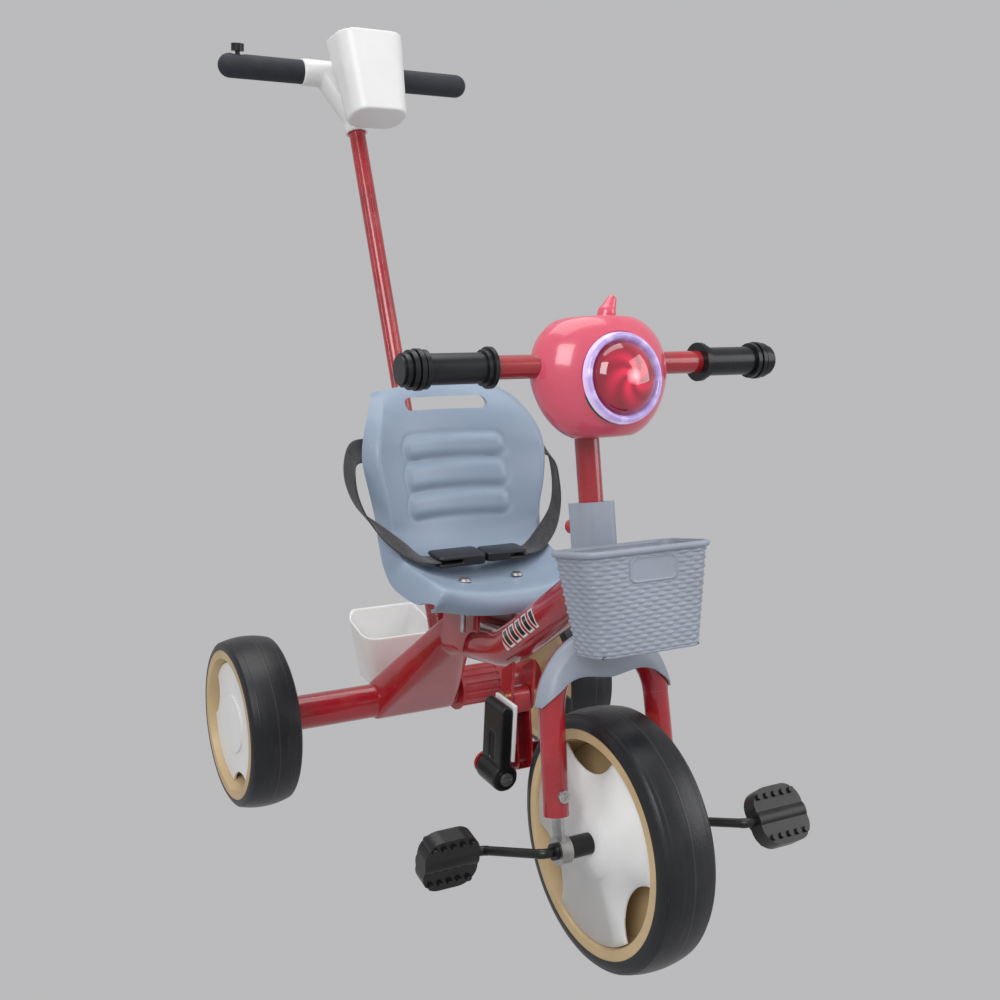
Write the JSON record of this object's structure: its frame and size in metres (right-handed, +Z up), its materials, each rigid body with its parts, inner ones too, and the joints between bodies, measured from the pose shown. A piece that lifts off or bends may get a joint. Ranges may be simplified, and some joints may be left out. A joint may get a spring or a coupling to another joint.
{
  "type": "child tricycle",
  "caption": "Pedal tricycle for a small child: front-wheel cranks, bucket seat with lap belt, fruit-shaped handlebar lamp, front basket, rear bin, fold-out footrests and a lift-out push handle.",
  "frame": {"origin": "on the ground, in the middle of the box round the whole tricycle", "axes": "+Z up, -Y forward, +X to the rider's left"},
  "size_m": [0.489, 0.8552, 0.925],
  "materials": {
    "red_paint": "gloss enamel",
    "rib_red": "moulded red",
    "nylon_black": "satin",
    "seat_grey": "satin blue-grey",
    "trim_grey": "satin grey",
    "zinc": "zinc plated",
    "webbing": "woven",
    "white_plastic": "gloss white",
    "tyre_black": "EVA foam",
    "rim_beige": "semi gloss",
    "foam": "closed-cell foam",
    "grip_rubber": "satin",
    "lamp_pink": "gloss",
    "lamp_clear": "clear",
    "lamp_red": "clear red",
    "circuit": "solder mask",
    "battery": "printed can"
  },
  "bodies": {
    "frame": {"main_tube": "red_paint", "rear_beam": "red_paint", "beam_coupling": "rib_red", "head_tube": "red_paint", "head_bearings": "nylon_black", "footrest_stay": "red_paint", "stay_bolt": "zinc", "footrest_pins": "zinc", "pole_socket": "red_paint", "seat_bracket": "red_paint", "seat_shell": "seat_grey", "seat_bolts": "zinc", "belt_right": "webbing", "belt_left": "webbing", "buckle_socket": "nylon_black", "buckle_tongue": "nylon_black", "rear_bin": "white_plastic", "bin_screws": "zinc", "rear_axle": "zinc", "rear_axle_nuts": "zinc"},
    "steering": {"fork": "red_paint", "dropouts": "zinc", "dropout_bolts": "zinc", "mudguard": "trim_grey", "stem": "red_paint", "handlebar": "red_paint", "grip_right": "grip_rubber", "grip_left": "grip_rubber", "lamp_front_shell": "lamp_pink", "lamp_back_shell": "lamp_pink", "lamp_ring": "lamp_clear", "lamp_dome": "lamp_red", "lamp_leaf": "lamp_pink", "lamp_board": "circuit", "lamp_battery": "battery", "stem_cover": "trim_grey", "basket": "trim_grey"},
    "release_button": {"release_button": "rib_red"},
    "front_wheel": {"front_tyre": "tyre_black", "front_rim": "rim_beige", "front_discs": "white_plastic", "crank_axle": "nylon_black", "axle_spacers": "nylon_black"},
    "pedal_right": {"pedal_right": "nylon_black"},
    "pedal_left": {"pedal_left": "nylon_black"},
    "rear_wheel_right": {"rear_tyre_right": "tyre_black", "rear_rim_right": "rim_beige", "rear_disc_right": "white_plastic"},
    "rear_wheel_left": {"rear_tyre_left": "tyre_black", "rear_rim_left": "rim_beige", "rear_disc_left": "white_plastic"},
    "push_handle": {"push_pole": "red_paint", "push_head": "white_plastic", "push_bar": "red_paint", "push_grips": "foam"},
    "push_button": {"push_button": "nylon_black"},
    "footrest_right": {"footrest_right": "nylon_black", "footrest_tread_right": "white_plastic"},
    "footrest_left": {"footrest_left": "nylon_black", "footrest_tread_left": "white_plastic"}
  },
  "joints": [
    {"name": "steering_turn", "type": "hinge", "parent": "frame", "child": "steering", "pos_m": [0, -0.3, 0.127], "axis": [0, 0.2351, 0.972], "range_deg": [-30, 30]},
    {"name": "front_wheel_spin", "type": "hinge", "parent": "steering", "child": "front_wheel", "pos_m": [0, -0.3, 0.127], "axis": [1, 0, 0], "continuous": true},
    {"name": "pedal_right_spin", "type": "hinge", "parent": "front_wheel", "child": "pedal_right", "pos_m": [-0.15, -0.23903, 0.10754], "axis": [1, 0, 0], "continuous": true},
    {"name": "pedal_left_spin", "type": "hinge", "parent": "front_wheel", "child": "pedal_left", "pos_m": [0.15, -0.36097, 0.14646], "axis": [1, 0, 0], "continuous": true},
    {"name": "rear_wheel_right_spin", "type": "hinge", "parent": "frame", "child": "rear_wheel_right", "pos_m": [-0.214, 0.157, 0.102], "axis": [1, 0, 0], "continuous": true},
    {"name": "rear_wheel_left_spin", "type": "hinge", "parent": "frame", "child": "rear_wheel_left", "pos_m": [0.214, 0.157, 0.102], "axis": [1, 0, 0], "continuous": true},
    {"name": "push_handle_slide", "type": "slide", "parent": "frame", "child": "push_handle", "axis": [0, 0.4431, 0.8965], "range_m": [0, 0.08]},
    {"name": "push_button_press", "type": "slide", "parent": "push_handle", "child": "push_button", "axis": [0, 0, -1], "range_m": [0, 0.003], "stiffness_N_per_m": 300},
    {"name": "release_button_press", "type": "slide", "parent": "steering", "child": "release_button", "axis": [0, -0.972, 0.2351], "range_m": [0, 0.003], "stiffness_N_per_m": 300},
    {"name": "footrest_right_fold", "type": "hinge", "parent": "frame", "child": "footrest_right", "pos_m": [-0.036, -0.128, 0.127], "axis": [0, -1, 0], "range_deg": [0, 90]},
    {"name": "footrest_left_fold", "type": "hinge", "parent": "frame", "child": "footrest_left", "pos_m": [0.036, -0.128, 0.127], "axis": [0, 1, 0], "range_deg": [0, 90]}
  ]
}
